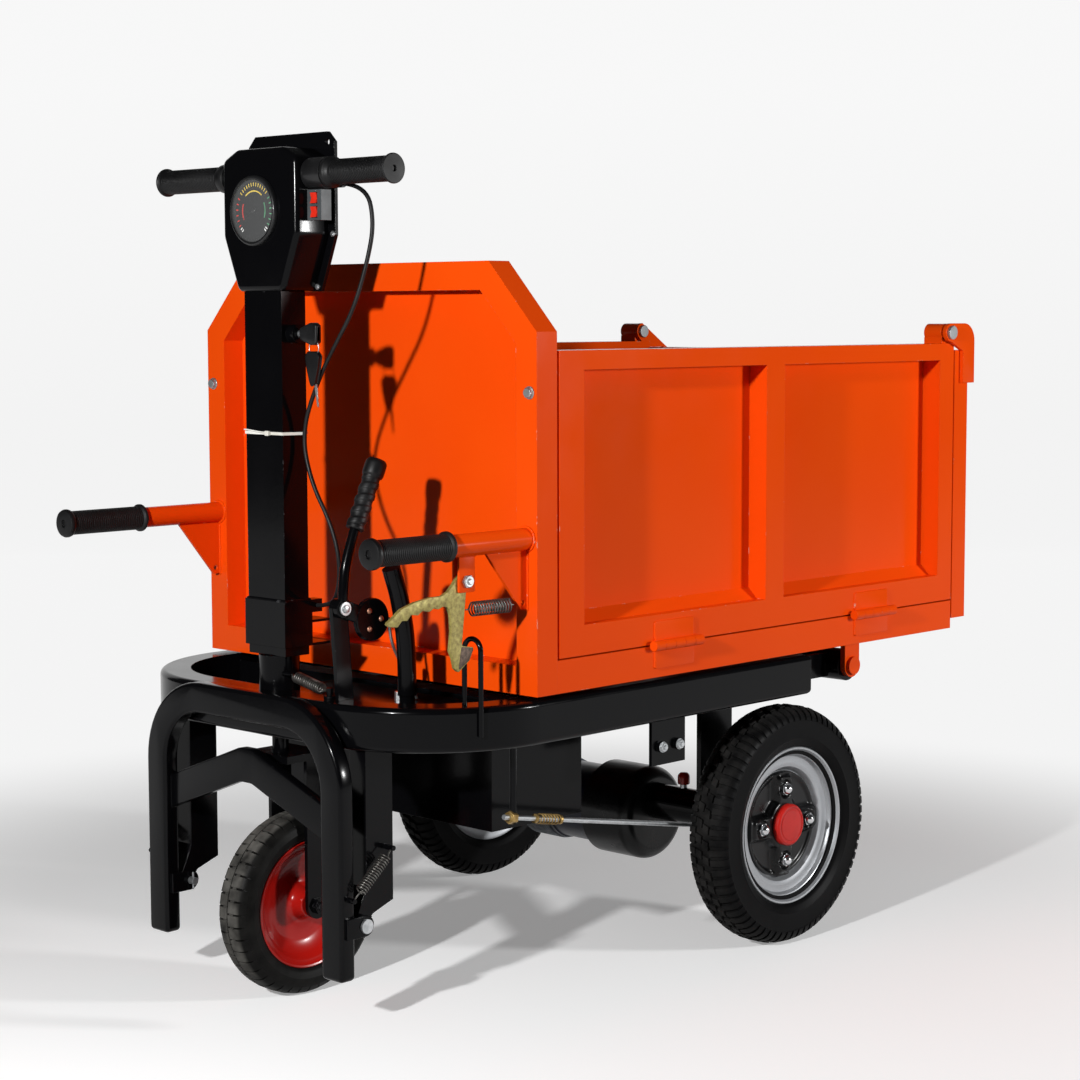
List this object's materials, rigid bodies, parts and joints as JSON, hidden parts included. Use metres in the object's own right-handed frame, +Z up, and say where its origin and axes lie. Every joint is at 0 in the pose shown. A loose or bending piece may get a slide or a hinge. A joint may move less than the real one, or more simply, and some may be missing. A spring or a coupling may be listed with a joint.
{
  "type": "electric wheelbarrow",
  "caption": "Stand-on electric wheelbarrow: orange tipping cargo box with a top-hung tailgate on a black chassis, steered guide wheel, folding step, hand brake and sprung box latch.",
  "frame": {"origin": "on the ground, at the centre of the bounding box", "axes": "+X towards the tailgate end, +Y to the operator's left, +Z up"},
  "size_m": [1.465, 0.814, 1.354],
  "materials": {
    "orange_paint": "gloss",
    "black_paint": "gloss",
    "zinc": "satin",
    "yellow_zinc": "satin",
    "tyre": "matte",
    "grip_rubber": "matte",
    "silver_rim": "satin",
    "red_paint": "gloss",
    "red_plastic": "gloss",
    "black_plastic": "satin",
    "grey_plastic": "satin",
    "chrome": "polished",
    "dial": "satin",
    "motor_paint": "satin"
  },
  "bodies": {
    "chassis": {"chassis_rim": "black_paint", "cross_tubes": "black_paint", "steering_head": "black_paint", "step_brackets": "black_paint", "pivot_tube": "black_paint", "latch_loop": "zinc", "battery_box": "black_paint", "axle_beam": "black_paint", "gear_case": "black_paint", "drive_motor": "motor_paint", "brake_foot": "black_paint", "deck_spring": "zinc", "brake_rod": "zinc", "rod_spring": "zinc", "brake_cable": "black_plastic", "step_springs": "zinc"},
    "steering": {"fork": "black_paint", "steering_column": "black_paint", "head_cover": "black_plastic", "back_plate": "black_plastic", "gauge_bezel": "black_plastic", "gauge_dial": "dial", "handlebar": "chrome", "bar_grip": "grip_rubber", "throttle_case": "black_plastic", "switch_bracket": "grey_plastic", "throttle_cable": "black_plastic"},
    "guide_wheel": {"guide_tyre": "tyre", "guide_rim": "red_paint"},
    "drive_wheel_left": {"drive_tyre_left": "tyre", "drive_rim_left": "silver_rim", "drive_hub_left": "black_paint", "hub_nuts_left": "chrome", "hub_cap_left": "red_paint"},
    "drive_wheel_right": {"drive_tyre_right": "tyre", "drive_rim_right": "silver_rim", "drive_hub_right": "black_paint", "hub_nuts_right": "chrome", "hub_cap_right": "red_paint"},
    "twist_grip": {"throttle_grip": "grip_rubber"},
    "upper_switch": {"rocker_upper": "red_plastic"},
    "lower_switch": {"rocker_lower": "red_plastic"},
    "ignition_key": {"key": "black_plastic"},
    "box": {"headboard": "orange_paint", "headboard_bolts": "zinc", "box_floor": "orange_paint", "drop_side_left": "orange_paint", "drop_side_right": "orange_paint", "side_hinges": "orange_paint", "push_handle_left": "orange_paint", "push_handle_right": "orange_paint", "push_grips": "grip_rubber", "tip_lugs": "orange_paint", "latch_spring": "zinc"},
    "gate": {"tailgate": "orange_paint", "tailgate_hooks": "orange_paint"},
    "latch": {"latch_lever": "yellow_zinc"},
    "hand_brake": {"brake_lever": "black_paint"},
    "step": {"step_frame": "black_paint", "step_pins": "zinc"}
  },
  "joints": [
    {"name": "steering_turn", "type": "hinge", "parent": "chassis", "child": "steering", "pos_m": [-0.59, 0, 0.5], "axis": [0, 0, 1], "range_deg": [-50, 50]},
    {"name": "guide_wheel_spin", "type": "hinge", "parent": "steering", "child": "guide_wheel", "pos_m": [-0.556, 0, 0.146], "axis": [0, 1, 0], "continuous": true},
    {"name": "drive_wheel_left_spin", "type": "hinge", "parent": "chassis", "child": "drive_wheel_left", "pos_m": [0.211, 0.363, 0.205], "axis": [0, 1, 0], "continuous": true},
    {"name": "drive_wheel_right_spin", "type": "hinge", "parent": "chassis", "child": "drive_wheel_right", "pos_m": [0.211, -0.363, 0.205], "axis": [0, 1, 0], "continuous": true},
    {"name": "throttle_twist", "type": "hinge", "parent": "steering", "child": "twist_grip", "pos_m": [-0.587, -0.2, 1.289], "axis": [0, 1, 0], "range_deg": [0, 70], "stiffness_Nm_per_rad": 0.3},
    {"name": "upper_switch_rock", "type": "hinge", "parent": "steering", "child": "upper_switch", "pos_m": [-0.593, -0.104, 1.2515], "axis": [0, 1, 0], "range_deg": [-8, 8]},
    {"name": "lower_switch_rock", "type": "hinge", "parent": "steering", "child": "lower_switch", "pos_m": [-0.593, -0.104, 1.2305], "axis": [0, 1, 0], "range_deg": [-8, 8]},
    {"name": "key_turn", "type": "hinge", "parent": "steering", "child": "ignition_key", "pos_m": [-0.592, -0.065, 1.047], "axis": [0, 1, 0], "range_deg": [0, 90]},
    {"name": "box_tip", "type": "hinge", "parent": "chassis", "child": "box", "pos_m": [0.422, 0, 0.455], "axis": [0, 1, 0], "range_deg": [0, 45]},
    {"name": "tailgate_swing", "type": "hinge", "parent": "box", "child": "gate", "pos_m": [0.657, 0, 1.0415], "axis": [0, -1, 0], "range_deg": [0, 90]},
    {"name": "latch_pull", "type": "hinge", "parent": "box", "child": "latch", "pos_m": [-0.538, -0.362, 0.685], "axis": [0, 1, 0], "range_deg": [-3, 22], "stiffness_Nm_per_rad": 4, "deforming": ["latch_spring"]},
    {"name": "brake_pull", "type": "hinge", "parent": "chassis", "child": "hand_brake", "pos_m": [-0.611, -0.165, 0.635], "axis": [0, -1, 0], "range_deg": [0, 50], "deforming": ["brake_cable"]},
    {"name": "step_fold", "type": "hinge", "parent": "chassis", "child": "step", "pos_m": [-0.63, 0, 0.162], "axis": [0, -1, 0], "range_deg": [0, 88], "stiffness_Nm_per_rad": 15, "springref_deg": -34.38, "deforming": ["step_springs"]}
  ]
}
